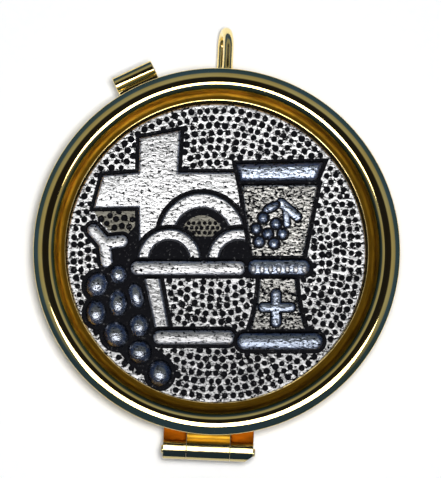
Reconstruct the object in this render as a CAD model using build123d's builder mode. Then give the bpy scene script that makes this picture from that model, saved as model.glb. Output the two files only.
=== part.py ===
from build123d import *
import os
from math import acos, atan2, cos, degrees, pi, radians, sin, sqrt

# Round hinged pyx, lying on its flat base. The origin is the centre of the base's underside,
# +Z is up, the hinge is at -Y and the bail loop at +Y. Sizes are in millimetres and degrees.

# Case
case_radius = 27.0
base_height = 10.5
lid_height = 5.0
sheet = 0.8
base_corner = 2.4
seam_gap = 0.05
seam_round = 0.2

# Collar that lines the lid up on the base
collar_sheet = 0.5
collar_rise = 1.4
collar_depth = 3.0
collar_clearance = 0.1
collar_lead = 0.2

# Lid rim: a convex bead that falls into a cove round the medallion's seat
bead_inset = 1.9
shoulder_drop = 0.93
bead_inner_radius = 1.6
cove_radius = 0.8
recess_depth = 2.0
shoulder_round = 0.25

# Medallion
medallion_gap = 0.73
medallion_thickness = 1.1
medallion_edge = 0.25
medallion_turn = 2.5
medallion_shift_x = -0.06
medallion_shift_y = -0.29
relief_draft = 14
cross_rise = 0.35
field_rise = 0.45
back_loaf_rise = 0.5
front_rise = 0.6
bar_rise = 0.8
grape_stand = 0.5
small_rise = 0.4
foot_hollow = 0.35
sunk_depth = 0.2
sunk_margin = 0.4
relief_bury = 0.1
dimple_radius = 0.46
dimple_wall = 0.3
dimple_border = 0.5
dimple_sides = 6

# Hinge
hinge_offset = 2.45
knuckle_radius = 1.4
pin_radius = 0.6
pin_clearance = 0.04
pin_stand_out = 0.3
pin_chamfer = 0.15
outer_knuckle_length = 3.4
middle_knuckle_length = 6.3
knuckle_gap = 0.1
web_clearance = 0.15
web_rise = 1.25
saddle_dip = 0.6

# Bail loop
wire_radius = 0.75
loop_reach = 6.1
loop_half_width = 2.25
loop_twist = 10.4
foot_radius = 1.2
foot_length = 0.7

# Catch
catch_angle = 27.7
tab_width = 6.3
tab_reach = 2.6
tab_height = 1.75
tab_clearance = 0.1
thumb_half_width = 1.1
thumb_crown = 0.57
tab_end_round = 0.3
tongue_width = 4.0
tongue_sheet = 0.4
rib_radius = 0.3
keeper_radius = 0.6
keeper_drop = 1.4
keeper_width = 4.6
catch_clearance = 0.05

# Places and fits that follow from the sizes above
lid_sheet = sheet - collar_clearance
lid_bottom = base_height + seam_gap
lid_top = base_height + lid_height
bead_apex = case_radius - bead_inset
shoulder_height = lid_top - shoulder_drop
cove_angle = degrees(acos(1 - recess_depth / (bead_inner_radius + cove_radius)))
seat_height = lid_top - recess_depth
seat_radius = bead_apex - (bead_inner_radius + cove_radius) * sin(radians(cove_angle))
collar_radius = case_radius - sheet
medallion_radius = seat_radius - medallion_gap
face_height = seat_height + medallion_thickness
pin_y = -(case_radius + hinge_offset)
pin_height = base_height
loop_height = (base_corner + base_height) / 2
tab_bottom = lid_bottom + tab_clearance
keeper_height = base_height - keeper_drop
tongue_face = case_radius + keeper_radius + catch_clearance + rib_radius
rib_height = keeper_height - keeper_radius - catch_clearance - rib_radius

# The relief is drawn for a face of this radius and follows the medallion's own
drawn_radius = 22.0
relief_scale = medallion_radius / drawn_radius
medallion_place = Plane((medallion_shift_x, medallion_shift_y, seat_height))
relief_face = medallion_place.offset(medallion_thickness).rotated((0, 0, medallion_turn))
relief_bed = relief_face.offset(-sunk_depth - relief_bury)

# Dimples lie in rings along the medallion's edge, each ring turned against the one outside it
dimple_pitch = 2 * dimple_radius + dimple_wall
dimple_ring_step = 0.9 * dimple_pitch
dimple_ring_turn = 137.5

# The catch's sections are drawn outwards and upwards, square to the wall
catch_out = (-sin(radians(catch_angle)), cos(radians(catch_angle)), 0)
catch_along = (cos(radians(catch_angle)), sin(radians(catch_angle)), 0)
catch_plane = Plane(origin=(0, 0, 0), x_dir=catch_out, z_dir=catch_along)

os.makedirs("parts", exist_ok=True)


def save(piece, name):
    """Label a finished piece and write it under its own name."""
    piece.part.label = name
    export_step(piece.part, f"parts/{name}.step")


def crown_radius(half_width, rise):
    """Radius of the arc that rises this far over this half width."""
    return (half_width**2 + rise**2) / (2 * rise)


def cut_to_wall():
    """Shape what is soldered on so that it seats on the round wall."""
    Cylinder(case_radius, 2 * lid_top, mode=Mode.SUBTRACT)


# Base cup: one drawn sheet, floor, corner and wall
with BuildPart() as base_cup:
    with BuildSketch(Plane.XZ):
        with BuildLine():
            cup_floor = Line((0, 0), (case_radius - base_corner, 0))
            cup_corner = JernArc(cup_floor @ 1, (1, 0), base_corner, 90)
            Line(cup_corner @ 1, (case_radius, base_height))
            offset(amount=sheet, side=Side.LEFT)
        make_face()
    revolve(axis=Axis.Z)
    fillet(base_cup.edges().group_by(Axis.Z)[-1].sort_by(SortBy.RADIUS)[-1], seam_round)
save(base_cup, "base_cup")

# Collar: sleeve inside the cup's wall, with a lead at its upper outer edge
with BuildPart() as base_collar:
    with BuildSketch(Plane.XY.offset(base_height - collar_depth)):
        Circle(collar_radius)
        Circle(collar_radius - collar_sheet, mode=Mode.SUBTRACT)
    extrude(amount=collar_depth + collar_rise)
    chamfer(base_collar.edges().group_by(Axis.Z)[-1].sort_by(SortBy.RADIUS)[-1], collar_lead)
save(base_collar, "base_collar")

# Lid shell: one drawn sheet, from the wall over the bead and down the cove to the seat
with BuildPart() as lid_shell:
    with BuildSketch(Plane.XZ):
        with BuildLine():
            lid_wall = Line((case_radius, lid_bottom), (case_radius, shoulder_height))
            RadiusArc(lid_wall @ 1, (bead_apex, lid_top), -crown_radius(bead_inset, shoulder_drop))
            bead_inner = CenterArc(
                (bead_apex, lid_top - bead_inner_radius), bead_inner_radius, 90, cove_angle
            )
            cove = JernArc(bead_inner @ 1, bead_inner % 1, cove_radius, -cove_angle)
            Line(cove @ 1, (0, seat_height))
            offset(amount=lid_sheet, side=Side.LEFT)
        make_face()
    revolve(axis=Axis.Z)
    lid_rings = lid_shell.edges().filter_by(GeomType.CIRCLE).group_by(SortBy.RADIUS)[-1]
    fillet(lid_rings.sort_by(Axis.Z)[-1], shoulder_round)
    lid_rings = lid_shell.edges().filter_by(GeomType.CIRCLE).group_by(SortBy.RADIUS)[-1]
    fillet(lid_rings.sort_by(Axis.Z)[0], seam_round)
save(lid_shell, "lid_shell")


def at(u, v):
    """A point of the relief's drawing on the medallion's own scale."""
    return (u * relief_scale, v * relief_scale)


def raise_field(field, height):
    """Raise a flat field from its sunk bed to this height over the face, with cast draft."""
    extrude(field, amount=height + sunk_depth + relief_bury, taper=relief_draft)


def raise_outline(corners, height):
    """Raise a straight-sided field of the relief."""
    with BuildSketch(relief_bed) as field:
        with BuildLine():
            Polyline(*[at(u, v) for u, v in corners], close=True)
        make_face()
    raise_field(field.sketch, height)


def raise_loaf(centre, outer_radius, inner_radius, height):
    """Raise the upper half of a ring, the crust of a round loaf behind the chalice."""
    with BuildSketch(relief_bed) as crust:
        with Locations(at(*centre)):
            Circle(outer_radius * relief_scale)
            Circle(inner_radius * relief_scale, mode=Mode.SUBTRACT)
            Rectangle(
                2 * outer_radius * relief_scale,
                outer_radius * relief_scale,
                align=(Align.CENTER, Align.MIN),
                mode=Mode.INTERSECT,
            )
        with BuildLine():
            Polyline(*[at(u, v) for u, v in cup_corners], close=True)
        make_face(mode=Mode.SUBTRACT)
    raise_field(crust.sketch, height)


def half_round(bed, half_width, half_length):
    """Half an ellipse on its straight side, the section of a domed form lying in the face."""
    with BuildSketch(bed) as section:
        Ellipse(half_width, half_length)
        Rectangle(half_width, 2 * half_length, align=(Align.MIN, Align.CENTER), mode=Mode.INTERSECT)
    return section.sketch


def raise_egg(centre, half_width, half_length, lean, rise, ground=0):
    """Raise a rounded form, its long axis lying in the face and its top this far above the ground."""
    across = half_width * relief_scale
    along = half_length * relief_scale
    bed = Plane(relief_face.location * Pos(*at(*centre), ground + rise - across) * Rot(0, 0, lean))
    revolve(half_round(bed, across, along), axis=Axis(bed.origin, -bed.y_dir), revolution_arc=180)


def raise_bar(start, end, width, rise, ground=0):
    """Raise a half-round bar between the centres of its two domed ends."""
    run = Vector(*end) - Vector(*start)
    lean = degrees(atan2(run.Y, run.X))
    radius = width * relief_scale / 2
    bed = Plane(relief_face.location * Pos(*at(*start), ground + rise - radius) * Rot(0, 0, lean))
    section_plane = Plane(origin=bed.origin, x_dir=bed.z_dir, z_dir=bed.x_dir)
    extrude(half_round(section_plane, radius, radius), amount=run.length * relief_scale)
    for dome in (start, end):
        raise_egg(dome, width / 2, width / 2, 0, rise, ground)


def raise_foot(centre, bottom, bottom_half_width, top, top_half_width):
    """Raise the chalice's foot, a field with hollow sides that spreads towards its base."""
    with BuildSketch(relief_bed) as foot:
        with BuildLine():
            base = Line(at(centre - bottom_half_width, bottom), at(centre + bottom_half_width, bottom))
            right = SagittaArc(base @ 1, at(centre + top_half_width, top), foot_hollow)
            neck = Line(right @ 1, at(centre - top_half_width, top))
            SagittaArc(neck @ 1, base @ 0, foot_hollow)
        make_face()
    raise_field(foot.sketch, field_rise)


def sink_outline(corners):
    """Add a straight-sided field and its margin to the sunk ground."""
    with BuildSketch(mode=Mode.PRIVATE) as field:
        with BuildLine():
            Polyline(*[at(u, v) for u, v in corners], close=True)
        make_face()
        offset(amount=sunk_margin, kind=Kind.INTERSECTION)
    add(field.sketch)


def sink_loaf(centre, outer_radius):
    """Add a loaf's whole half round and its margin to the sunk ground."""
    reach = outer_radius * relief_scale + sunk_margin
    with BuildSketch(mode=Mode.PRIVATE) as half:
        with Locations(at(*centre)):
            Circle(reach)
            Rectangle(2 * reach, reach, align=(Align.CENTER, Align.MIN), mode=Mode.INTERSECT)
    add(half.sketch)


def sink_bar(start, end, width):
    """Add a bar and its margin to the sunk ground."""
    run = (Vector(*end) - Vector(*start)) * relief_scale
    middle = (Vector(*at(*start)) + Vector(*at(*end))) / 2
    lean = degrees(atan2(run.Y, run.X))
    with Locations((middle.X, middle.Y)):
        SlotCenterToCenter(run.length, width * relief_scale + 2 * sunk_margin, rotation=lean)


def sink_egg(centre, half_width, half_length, lean):
    """Add a grape and its margin to the sunk ground."""
    with Locations(at(*centre)):
        Ellipse(
            half_width * relief_scale + sunk_margin, half_length * relief_scale + sunk_margin, rotation=lean
        )


def dimple_corners(ring, turn):
    """Corners of one dimple, by its ring's radius and its place on the ring in radians."""
    middle = Vector(ring * cos(turn), ring * sin(turn))
    ways = [turn + 2 * pi * count / dimple_sides for count in range(dimple_sides)]
    return [middle + Vector(cos(way), sin(way)) * dimple_radius for way in ways]


def open_dimples(sunk_faces):
    """Outlines of the dimples that lie clear of the sunk ground, ring by ring from the edge."""
    outlines = []
    ring = medallion_radius - dimple_border - dimple_radius
    ring_number = 0
    while ring > dimple_pitch:
        places = int(2 * pi * ring / dimple_pitch)
        for place in range(places):
            turn = radians(dimple_ring_turn) * ring_number + 2 * pi * place / places
            corners = dimple_corners(ring, turn)
            if not any(face.is_inside(corner) for face in sunk_faces for corner in corners):
                outlines.append(Wire.make_polygon(corners))
        ring -= dimple_ring_step
        ring_number += 1
    return outlines


# Medallion: disc with the emblems of cross, loaves in a basket, chalice, grapes and vine
cross_corners = [
    (-5.4, 1.5),
    (-5.4, 6.8),
    (3.9, 6.8),
    (3.5, 11.9),
    (-5.6, 11.9),
    (-5.2, 18.15),
    (-11.3, 17.0),
    (-11.4, 11.9),
    (-16.7, 11.5),
    (-18.05, 6.7),
    (-11.4, 6.8),
    (-11.4, 1.5),
]
cup_corners = [(5.25, -0.9), (12.75, -0.9), (15.0, 10.6), (3.6, 10.6)]
cup_rim_corners = [(3.5, 10.55), (14.7, 10.7), (15.85, 13.45), (2.9, 13.15)]
chalice_foot = (9.05, -11.6, 4.25, -3.1, 2.7)
basket_stay_corners = [(-9.0, -11.4), (-6.8, -11.4), (-8.3, -3.1), (-10.7, -3.1)]
loaves = [
    ((-2.1, 2.55), 6.3, 4.3, back_loaf_rise),
    ((-7.0, -1.0), 4.6, 3.0, front_rise),
    ((3.35, -1.0), 4.6, 3.0, front_rise),
]
bars = [
    ((-11.55, -2.15), (3.3, -2.15), 2.05, bar_rise),
    ((-8.25, -12.35), (1.7, -12.35), 2.1, bar_rise),
    ((5.8, -2.05), (12.65, -2.05), 2.3, bar_rise),
    ((4.3, -12.95), (14.45, -12.95), 2.5, bar_rise),
    ((-16.4, 1.5), (-18.0, 3.3), 1.65, front_rise),
    ((-16.4, 1.5), (-14.4, 1.75), 1.65, front_rise),
    ((-16.4, 1.5), (-16.1, -1.05), 1.65, front_rise),
]
small_bars = [
    ((9.6, 7.4), (11.9, 5.4), 1.25),
    ((10.3, 6.0), (10.4, 4.3), 0.9),
    ((8.8, -5.9), (8.8, -10.2), 1.2),
    ((6.8, -7.95), (11.1, -7.95), 1.15),
]
grapes = [
    ((-14.4, -3.1), 1.2, 1.25, 0),
    ((-17.55, -4.65), 1.5, 1.9, -25),
    ((-11.75, -6.25), 1.0, 1.75, 15),
    ((-14.45, -7.35), 1.2, 1.85, 0),
    ((-17.7, -8.75), 1.35, 1.85, 0),
    ((-11.35, -10.7), 1.4, 1.6, 0),
    ((-14.75, -12.0), 1.7, 1.95, 30),
    ((-11.25, -14.5), 1.6, 1.65, 0),
    ((-8.3, -17.65), 1.6, 1.9, 0),
]
small_grapes = [(6.9, 5.2), (8.8, 4.35), (5.85, 3.6), (7.6, 2.85), (9.8, 2.85), (6.3, 1.7), (8.5, 1.45)]
small_grape_radius = 0.81
leaf = ((8.1, 6.75), 0.6, 1.35, -64)
foot_corners = [
    (chalice_foot[0] - chalice_foot[2], chalice_foot[1]),
    (chalice_foot[0] + chalice_foot[2], chalice_foot[1]),
    (chalice_foot[0] + chalice_foot[4], chalice_foot[3]),
    (chalice_foot[0] - chalice_foot[4], chalice_foot[3]),
]
with BuildSketch() as sunk_ground:
    for corners in (cross_corners, cup_corners, cup_rim_corners, basket_stay_corners, foot_corners):
        sink_outline(corners)
    for centre, outer_radius, _, _ in loaves:
        sink_loaf(centre, outer_radius)
    for start, end, width, _ in bars:
        sink_bar(start, end, width)
    for grape in grapes:
        sink_egg(*grape)
    Circle(medallion_radius - dimple_border, mode=Mode.INTERSECT)

with BuildPart() as relief:
    raise_outline(cross_corners, cross_rise)
    raise_outline(cup_corners, field_rise)
    raise_foot(*chalice_foot)
    raise_outline(cup_rim_corners, bar_rise)
    raise_outline(basket_stay_corners, front_rise)
    for loaf in loaves:
        raise_loaf(*loaf)
    for bar_form in bars:
        raise_bar(*bar_form)
    for centre, half_width, half_length, lean in grapes:
        raise_egg(centre, half_width, half_length, lean, half_width * relief_scale * grape_stand)
    for bar_form in small_bars:
        raise_bar(*bar_form, small_rise, field_rise)
    for centre in small_grapes:
        raise_egg(centre, small_grape_radius, small_grape_radius, 0, small_rise, field_rise)
    raise_egg(*leaf, small_rise, field_rise)
    with Locations(medallion_place):
        Cylinder(medallion_radius - dimple_border, 2 * lid_top, mode=Mode.INTERSECT)

with BuildPart() as medallion:
    with BuildSketch(medallion_place):
        Circle(medallion_radius)
    extrude(amount=medallion_thickness - sunk_depth)
    ground = Face(Wire.make_circle(medallion_radius), open_dimples(sunk_ground.faces()))
    extrude(relief_face.offset(-sunk_depth).location * ground, amount=sunk_depth)
    rim_edge = medallion.edges().filter_by(GeomType.CIRCLE).group_by(Axis.Z)[-1]
    fillet(rim_edge.sort_by(SortBy.RADIUS)[-1], medallion_edge)
    extrude(relief_face.location * sunk_ground.sketch, amount=-sunk_depth, mode=Mode.SUBTRACT)
    add(relief.part)
save(medallion, "medallion")


def make_knuckle(name, x_start, length, bore_radius, side):
    """One knuckle: a barrel round the pin and the saddle that carries it to the wall.

    side is +1 where the saddle lies above the parting plane, on the lid, and -1 below it."""
    near_face = pin_height + web_clearance * side
    far_face = pin_height + (web_clearance + web_rise) * side
    wall_y = -sqrt(case_radius**2 - hinge_half_width**2)
    with BuildPart() as knuckle:
        with BuildSketch(Plane.YZ.offset(x_start)):
            with BuildLine():
                under = Line((pin_y, near_face), (wall_y, near_face))
                back = Line(under @ 1, (wall_y, far_face))
                barrel_top = (pin_y, pin_height + knuckle_radius * side)
                saddle = SagittaArc(back @ 1, barrel_top, saddle_dip * side)
                Line(saddle @ 1, under @ 0)
            make_face()
            with Locations((pin_y, pin_height)):
                Circle(knuckle_radius)
                Circle(bore_radius, mode=Mode.SUBTRACT)
        extrude(amount=length)
        cut_to_wall()
    save(knuckle, name)


# Hinge: three knuckles on one pin, the outer two on the base and the middle one on the lid
middle_start = -middle_knuckle_length / 2
hinge_half_width = middle_knuckle_length / 2 + knuckle_gap + outer_knuckle_length
make_knuckle("hinge_knuckle_left", -hinge_half_width, outer_knuckle_length, pin_radius, -1)
make_knuckle(
    "hinge_knuckle_right", middle_knuckle_length / 2 + knuckle_gap, outer_knuckle_length, pin_radius, -1
)
make_knuckle(
    "hinge_knuckle_middle", middle_start, middle_knuckle_length, pin_radius + pin_clearance, 1
)

with BuildPart() as hinge_pin:
    with BuildSketch(Plane.YZ.offset(-hinge_half_width - pin_stand_out)):
        with Locations((pin_y, pin_height)):
            Circle(pin_radius)
    extrude(amount=2 * (hinge_half_width + pin_stand_out))
    chamfer(hinge_pin.edges().filter_by(GeomType.CIRCLE), pin_chamfer)
save(hinge_pin, "hinge_pin")

# Bail loop: one bent wire, its two feet spread on the wall, turned a little about its own length
loop_across = (cos(radians(loop_twist)), 0, -sin(radians(loop_twist)))
loop_plane = Plane(origin=(0, 0, loop_height), x_dir=(0, 1, 0), z_dir=loop_across)
bend_centre = case_radius + loop_reach - wire_radius - loop_half_width
foot_start = case_radius - foot_length
with BuildPart() as bail_loop:
    with BuildLine(loop_plane) as wire_path:
        lower_leg = Line((foot_start, -loop_half_width), (bend_centre, -loop_half_width))
        bend = CenterArc((bend_centre, 0), loop_half_width, -90, 180)
        upper_leg = Line(bend @ 1, (foot_start, loop_half_width))
    with BuildSketch(Plane(origin=lower_leg @ 0, z_dir=lower_leg % 0)):
        Circle(wire_radius)
    sweep(path=wire_path.wire())
    for leg_end in (lower_leg @ 0, upper_leg @ 1):
        with Locations(Plane(origin=leg_end, z_dir=(0, 1, 0)).location):
            Cone(
                foot_radius,
                wire_radius,
                2 * foot_length,
                align=(Align.CENTER, Align.CENTER, Align.MIN),
            )
    cut_to_wall()
save(bail_loop, "bail_loop")

# Catch tab: half-round thumb bar whose inner side dips into a neck at the lid's wall
thumb_apex = case_radius + tab_reach - thumb_half_width
thumb_top = tab_bottom + tab_height
thumb_edge = thumb_top - thumb_crown
tab_root = case_radius - tab_reach
with BuildPart() as catch_tab:
    with BuildSketch(catch_plane.offset(-tab_width / 2)):
        with BuildLine():
            tab_under = Line((tab_root, tab_bottom), (case_radius + tab_reach, tab_bottom))
            tab_end = Line(tab_under @ 1, (case_radius + tab_reach, thumb_edge))
            thumb = ThreePointArc(
                tab_end @ 1, (thumb_apex, thumb_top), (thumb_apex - thumb_half_width, thumb_edge)
            )
            neck = Line(thumb @ 1, (tab_root, thumb_edge))
            Line(neck @ 1, tab_under @ 0)
        make_face()
    extrude(amount=tab_width)
    cut_to_wall()
    outer_face = catch_tab.faces().sort_by(Axis((0, 0, 0), catch_out))[-1]
    fillet(outer_face.edges(), tab_end_round)
save(catch_tab, "catch_tab")

# Catch tongue: strip under the thumb bar with a rib on its inner face
with BuildPart() as catch_tongue:
    with BuildSketch(catch_plane.offset(-tongue_width / 2)):
        with Locations((tongue_face, tab_bottom)):
            Rectangle(tongue_sheet, tab_bottom - rib_height + 2 * rib_radius, align=(Align.MIN, Align.MAX))
        with Locations((tongue_face, rib_height)):
            Circle(rib_radius)
    extrude(amount=tongue_width)
save(catch_tongue, "catch_tongue")

# Catch keeper: half-round rib on the base's wall, which the tongue's rib hooks under
with BuildPart() as catch_keeper:
    with BuildSketch(catch_plane.offset(-keeper_width / 2)):
        with Locations((case_radius, keeper_height)):
            Circle(keeper_radius)
    extrude(amount=keeper_width)
    cut_to_wall()
save(catch_keeper, "catch_keeper")
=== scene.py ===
from math import acos, asin, atan2, cos, degrees, pi, radians, sin, sqrt
from random import Random

import bpy
from mathutils import Matrix, Vector


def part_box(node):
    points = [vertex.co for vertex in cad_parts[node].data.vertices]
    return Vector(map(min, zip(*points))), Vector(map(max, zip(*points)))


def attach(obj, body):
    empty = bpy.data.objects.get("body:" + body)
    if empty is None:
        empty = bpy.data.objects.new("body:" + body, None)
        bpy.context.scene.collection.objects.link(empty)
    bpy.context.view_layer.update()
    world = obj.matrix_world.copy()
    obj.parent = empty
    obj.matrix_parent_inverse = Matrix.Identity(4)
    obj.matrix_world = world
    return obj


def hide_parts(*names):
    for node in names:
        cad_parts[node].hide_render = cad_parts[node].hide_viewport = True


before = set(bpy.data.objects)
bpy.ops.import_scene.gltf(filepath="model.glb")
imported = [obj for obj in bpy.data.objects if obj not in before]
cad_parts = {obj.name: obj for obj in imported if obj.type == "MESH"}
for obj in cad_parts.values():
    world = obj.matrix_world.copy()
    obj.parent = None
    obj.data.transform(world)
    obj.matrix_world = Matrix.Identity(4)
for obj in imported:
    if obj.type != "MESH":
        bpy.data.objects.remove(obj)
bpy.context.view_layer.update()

bl_info = {
    "name": "Pyx dresser",
    "version": (1, 0, 0),
    "blender": (4, 5, 0),
    "location": "3D View > Sidebar > Pyx",
    "description": "Models the pieces of a round hinged pyx on its frame, finishes them and lights them",
    "category": "Object",
}

MM = 0.001
WELD = 1e-7
TOUCH = 10 * WELD
SEED_SIZE = 0.1 * MM
SMOOTH_ANGLE = radians(32)
BEVEL_ANGLE = radians(40)
ROUND_STEPS = 240

_, CUP_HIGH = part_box("base_cup")
COLLAR_LOW, COLLAR_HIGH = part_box("base_collar")
LID_LOW, LID_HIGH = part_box("lid_shell")
DISC_LOW, DISC_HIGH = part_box("medallion")
PIN_LOW, PIN_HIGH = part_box("hinge_pin")
LOOP_LOW, LOOP_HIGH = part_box("bail_loop")
TAB_LOW, TAB_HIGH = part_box("catch_tab")


def length(name, description, default):
    """A size that the panel shows in scene units."""
    return bpy.props.FloatProperty(
        name=name, description=description, default=default, unit="LENGTH", precision=5
    )


def angle(name, description, default):
    """An angle that the panel shows in degrees."""
    return bpy.props.FloatProperty(
        name=name, description=description, default=radians(default), subtype="ANGLE"
    )


def colour(name, description, default):
    """A linear colour that the panel shows as a swatch."""
    return bpy.props.FloatVectorProperty(
        name=name, description=description, default=default, size=3, subtype="COLOR", min=0, max=1
    )


class PyxCaseSizes(bpy.types.PropertyGroup):
    """Sizes of the drawn cup, the collar and the lid."""

    radius: length("Case radius", "Outer radius of the cup and the lid", CUP_HIGH.x)
    base_height: length("Base height", "Height of the cup's lip", CUP_HIGH.z)
    lid_bottom: length("Lid bottom", "Height of the lid's lower edge", LID_LOW.z)
    lid_top: length("Lid top", "Height of the bead's crest", LID_HIGH.z)
    sheet: length("Cup sheet", "Thickness of the cup's sheet", 0.8 * MM)
    lid_sheet: length("Lid sheet", "Thickness of the lid's sheet", 0.7 * MM)
    corner: length("Corner", "Radius between the cup's floor and wall", 2.4 * MM)
    seam_round: length("Seam round", "Rounding of the two edges at the seam", 0.2 * MM)
    collar_sheet: length("Collar sheet", "Thickness of the collar", 0.5 * MM)
    collar_lead: length("Collar lead", "Chamfer at the collar's upper edge", 0.2 * MM)
    bead_inset: length("Bead inset", "Distance of the bead's crest from the wall", 1.9 * MM)
    shoulder_drop: length("Shoulder drop", "Fall of the bead from its crest to the wall", 0.8 * MM)
    shoulder_round: length("Shoulder round", "Rounding between the bead and the wall", 0.16 * MM)
    bead_inner: length("Bead inner radius", "Radius of the bead's inner side", 1.6 * MM)
    cove: length("Cove radius", "Radius of the hollow round the medallion", 0.8 * MM)
    recess: length("Recess depth", "Depth of the medallion's seat under the crest", 2.0 * MM)


class PyxMedallionSizes(bpy.types.PropertyGroup):
    """Sizes of the cast medallion and its relief."""

    radius: length("Radius", "Radius of the casting", (DISC_HIGH.x - DISC_LOW.x) / 2)
    thickness: length("Thickness", "Thickness of the disc under its relief", 1.1 * MM)
    edge: length("Edge round", "Rounding of the disc's upper edge", 0.25 * MM)
    turn: angle("Turn", "Turn of the relief against the hinge line", 2.5)
    shift_x: length("Shift across", "Place of the casting in its seat, across", -0.06 * MM)
    shift_y: length("Shift along", "Place of the casting in its seat, towards the loop", -0.29 * MM)
    trench: length("Trench width", "Width of the sunk outline round each emblem", 0.56 * MM)
    trench_depth: length("Trench depth", "Depth of the sunk outline", 0.34 * MM)
    dimple: length("Dimple radius", "Radius of a punched dimple", 0.48 * MM)
    dimple_depth: length("Dimple depth", "Depth of a punched dimple", 0.32 * MM)
    dimple_border: length("Dimple border", "Distance of the outer ring of dimples from the edge", 0.96 * MM)
    dimple_pitch: length("Dimple pitch", "Distance between dimples", 1.22 * MM)


class PyxHardwareSizes(bpy.types.PropertyGroup):
    """Sizes of the hinge, the bail loop and the catch."""

    knuckle_radius: length("Knuckle radius", "Outer radius of the hinge's barrel", 1.4 * MM)
    barrel_lean: length("Barrel lean", "Distance of the barrel's crest from the pin, to the wall", 0.85 * MM)
    seam_fill: length("Seam fill", "Amount that the middle knuckle fills each seam beside it", 0.06 * MM)
    corner_cut: length("Corner cut", "Size of the worn corner at the end of the barrel", 1.2 * MM)
    pin_clearance: length("Pin clearance", "Room round the pin in the middle knuckle", 0.04 * MM)
    web_clearance: length("Web clearance", "Distance of a web from the parting plane", 0.15 * MM)
    web_rise: length("Web rise", "Height of a web at the wall", 1.25 * MM)
    saddle_dip: length("Saddle dip", "Hollow of the web between wall and barrel", 0.4 * MM)
    wire: length("Wire radius", "Radius of the loop's wire", 0.75 * MM)
    loop_half_width: length("Loop half width", "Half the distance between the legs", 2.25 * MM)
    loop_twist: angle("Loop twist", "Turn of the loop about its own length", 10.4)
    foot_radius: length("Foot radius", "Radius of a leg where it spreads on the wall", 1.2 * MM)
    foot_length: length("Foot length", "Length of the spread", 1.4 * MM)
    catch_angle: angle("Catch angle", "Place of the catch round the wall, from the loop", 27.7)
    tab_width: length("Tab width", "Length of the thumb bar along the wall", 6.3 * MM)
    tab_reach: length("Tab reach", "Distance that the thumb bar stands out", 2.6 * MM)
    thumb_half_width: length("Thumb half width", "Half the width of the bar's crown", 1.1 * MM)
    thumb_crown: length("Thumb crown", "Rise of the bar's crown", 0.57 * MM)
    tongue_width: length("Tongue width", "Width of the snap tongue", 4.0 * MM)
    tongue_sheet: length("Tongue sheet", "Thickness of the snap tongue", 0.4 * MM)
    rib: length("Rib radius", "Radius of the rib on the tongue", 0.3 * MM)
    keeper: length("Keeper radius", "Radius of the keeper on the wall", 0.6 * MM)
    keeper_width: length("Keeper width", "Length of the keeper along the wall", 4.6 * MM)


class PyxColours(bpy.types.PropertyGroup):
    """Colours of the finishes and the floor."""

    gilt: colour("Gilt", "Polished gilding", (0.98, 0.80, 0.37))
    gilt_warm: colour("Warm gilt", "Deeper tone that drifts through the gilding", (0.96, 0.71, 0.26))
    # Painted reflection: the orange that the gilding reflects of itself, in the cove and on the hinge's
    # webs.
    amber: colour("Amber", "Lacquer that settled in the cove", (0.90, 0.46, 0.035))
    # Painted shade: the deep orange of the hinge's lower webs.
    web_shade: colour("Rust", "Deep orange left by the solder at the hinge", (0.24, 0.06, 0.002))
    pewter: colour("Pewter", "Bright worn pewter", (0.95, 0.94, 0.94))
    bone: colour("Bone pewter", "Warm grey pewter of the chalice", (0.66, 0.64, 0.60))
    # Painted reflection: the blue of this pewter stands for the blue surround that the burnished emblems
    # reflect.
    steel: colour("Burnished pewter", "Bluish burnished pewter", (0.52, 0.58, 0.70))
    slate: colour("Slate pewter", "Dark polish of the grapes", (0.54, 0.57, 0.64))
    tarnish: colour("Tarnish", "Dull ground that the wear left alone", (0.25, 0.235, 0.195))
    # Also the dark end of the painted shade that darkens the pewter towards the hinge.
    patina: colour("Patina", "Black that stays in the hollows", (0.005, 0.005, 0.007))
    floor: colour("Floor", "Pale paper that the box lies on", (0.93, 0.93, 0.93))


# Modelling tools


def arc(centre, radius, start, end, steps):
    """Points along an arc between two angles in degrees, both ends included."""
    spread = [radians(start + (end - start) * count / steps) for count in range(steps + 1)]
    return [(centre[0] + radius * cos(turn), centre[1] + radius * sin(turn)) for turn in spread]


def sagged(start, end, dip, steps):
    """Points between two ends, both left out, along a line that hangs by this dip."""
    points = []
    for count in range(1, steps):
        share = count / steps
        across = start[0] + (end[0] - start[0]) * share
        points.append((across, start[1] + (end[1] - start[1]) * share - 4 * dip * share * (1 - share)))
    return points


def begin(name, primitive, **sizes):
    """Add one primitive, selected by itself, under this name."""
    bpy.ops.object.select_all(action="DESELECT")
    primitive(**sizes)
    piece = bpy.context.object
    piece.name = name
    return piece


def chain(name, points):
    """Extrude one vertex through these points, and leave the line selected in edit mode."""
    piece = begin(name, bpy.ops.mesh.primitive_plane_add, size=SEED_SIZE)
    piece.data.name = name
    bpy.ops.object.mode_set(mode="EDIT")
    bpy.ops.mesh.select_mode(type="VERT")
    bpy.ops.mesh.select_all(action="SELECT")
    bpy.ops.mesh.merge(type="CENTER")
    bpy.ops.transform.translate(value=points[0])
    for here, there in zip(points, points[1:]):
        step = Vector(there) - Vector(here)
        bpy.ops.mesh.extrude_vertices_move(TRANSFORM_OT_translate={"value": step})
    bpy.ops.mesh.select_all(action="SELECT")
    return piece


def seal(piece):
    """Weld a mesh, turn its faces outwards and leave edit mode."""
    bpy.ops.mesh.select_all(action="SELECT")
    bpy.ops.mesh.remove_doubles(threshold=WELD)
    bpy.ops.mesh.normals_make_consistent(inside=False)
    bpy.ops.object.mode_set(mode="OBJECT")
    if signed_volume(piece) < 0:
        bpy.ops.object.mode_set(mode="EDIT")
        bpy.ops.mesh.select_all(action="SELECT")
        bpy.ops.mesh.flip_normals()
        bpy.ops.object.mode_set(mode="OBJECT")
    return piece


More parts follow.
